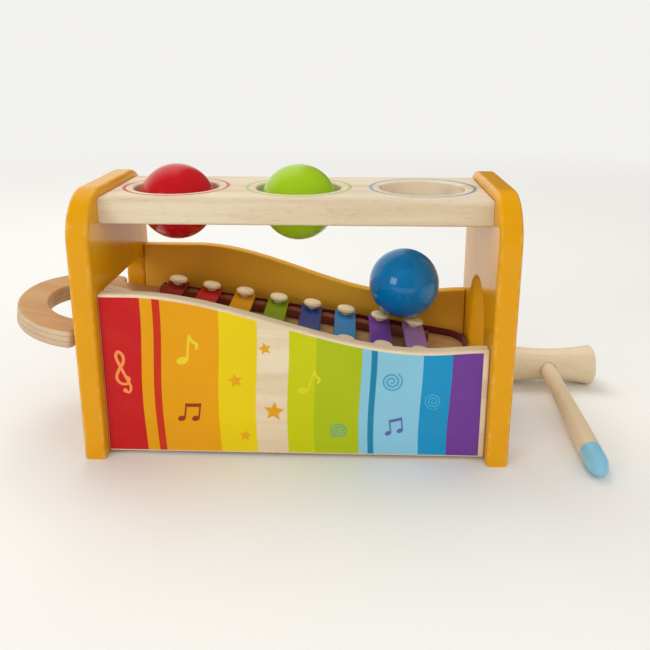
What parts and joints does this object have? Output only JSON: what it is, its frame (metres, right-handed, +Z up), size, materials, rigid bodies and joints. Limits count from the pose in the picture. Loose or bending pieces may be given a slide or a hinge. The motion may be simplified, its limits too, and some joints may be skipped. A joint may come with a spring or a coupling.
{
  "type": "ball pounding bench",
  "caption": "Wooden pounding bench: balls tapped through holes in the top board drop onto a sloping slide-out xylophone and roll out through an arch. With a mallet.",
  "frame": {"origin": "middle of the footprint of the bench, its handle and the mallet, on the floor", "axes": "+X along the bench towards the low end of the xylophone, +Y to the back, +Z up"},
  "size_m": [0.382, 0.1468, 0.1667],
  "materials": {
    "yellow_paint": "satin paint on solid wood",
    "pale_wood": "clear satin lacquer",
    "striped_wall": "clear satin lacquer, painted stripes outside",
    "plywood": "clear satin lacquer, layered edge",
    "mallet_wood": "clear satin lacquer, painted grip end",
    "peg_wood": "clear satin lacquer",
    "red_lacquer": "gloss lacquer",
    "green_lacquer": "gloss lacquer",
    "blue_lacquer": "gloss lacquer",
    "rubber": "matt",
    "screw_steel": "zinc plated",
    "felt": "pressed wool felt",
    "bar_1": "lacquered metal",
    "bar_2": "lacquered metal",
    "bar_3": "lacquered metal",
    "bar_4": "lacquered metal",
    "bar_5": "lacquered metal",
    "bar_6": "lacquered metal",
    "bar_7": "lacquered metal",
    "bar_8": "lacquered metal"
  },
  "bodies": {
    "bench": {"left_panel": "yellow_paint", "right_panel": "yellow_paint", "top_board": "pale_wood", "front_wall": "striped_wall", "back_wall": "striped_wall", "front_rail": "pale_wood", "back_rail": "pale_wood", "grip_ring_left": "rubber", "grip_ring_middle": "rubber", "grip_ring_right": "rubber", "screw_left_top_front": "screw_steel", "screw_left_top_back": "screw_steel", "screw_left_foot_front": "screw_steel", "screw_left_foot_back": "screw_steel", "screw_right_top_front": "screw_steel", "screw_right_top_back": "screw_steel", "screw_right_foot_front": "screw_steel", "screw_right_foot_back": "screw_steel"},
    "xylophone": {"xylophone_base": "plywood", "front_felt": "felt", "back_felt": "felt", "tone_bar_1": "bar_1", "tone_bar_2": "bar_2", "tone_bar_3": "bar_3", "tone_bar_4": "bar_4", "tone_bar_5": "bar_5", "tone_bar_6": "bar_6", "tone_bar_7": "bar_7", "tone_bar_8": "bar_8", "peg_front_1": "peg_wood", "peg_front_2": "peg_wood", "peg_front_3": "peg_wood", "peg_front_4": "peg_wood", "peg_front_5": "peg_wood", "peg_front_6": "peg_wood", "peg_front_7": "peg_wood", "peg_front_8": "peg_wood", "peg_back_1": "peg_wood", "peg_back_2": "peg_wood", "peg_back_3": "peg_wood", "peg_back_4": "peg_wood", "peg_back_5": "peg_wood", "peg_back_6": "peg_wood", "peg_back_7": "peg_wood", "peg_back_8": "peg_wood"},
    "red_ball": {"red_ball": "red_lacquer"},
    "green_ball": {"green_ball": "green_lacquer"},
    "blue_ball": {"blue_ball": "blue_lacquer"},
    "mallet": {"mallet_head": "mallet_wood", "mallet_handle": "mallet_wood"}
  },
  "joints": [
    {"name": "xylophone_slide", "type": "slide", "parent": "bench", "child": "xylophone", "axis": [-0.9871, 0, 0.1599], "range_m": [0, 0.24]},
    {"name": "red_ball_drop", "type": "slide", "parent": "bench", "child": "red_ball", "axis": [0, 0, 1], "range_m": [-0.0413, 0.04], "deforming": ["grip_ring_left"]},
    {"name": "green_ball_drop", "type": "slide", "parent": "bench", "child": "green_ball", "axis": [0, 0, 1], "range_m": [-0.0534, 0.04], "deforming": ["grip_ring_middle"]},
    {"name": "blue_ball_lift", "type": "slide", "parent": "bench", "child": "blue_ball", "axis": [0.182, -0.6568, 0.7317], "range_m": [0, 0.0404]},
    {"name": "mallet_lift", "type": "slide", "parent": "bench", "child": "mallet", "axis": [0, 0, 1], "range_m": [0, 0.2]}
  ]
}
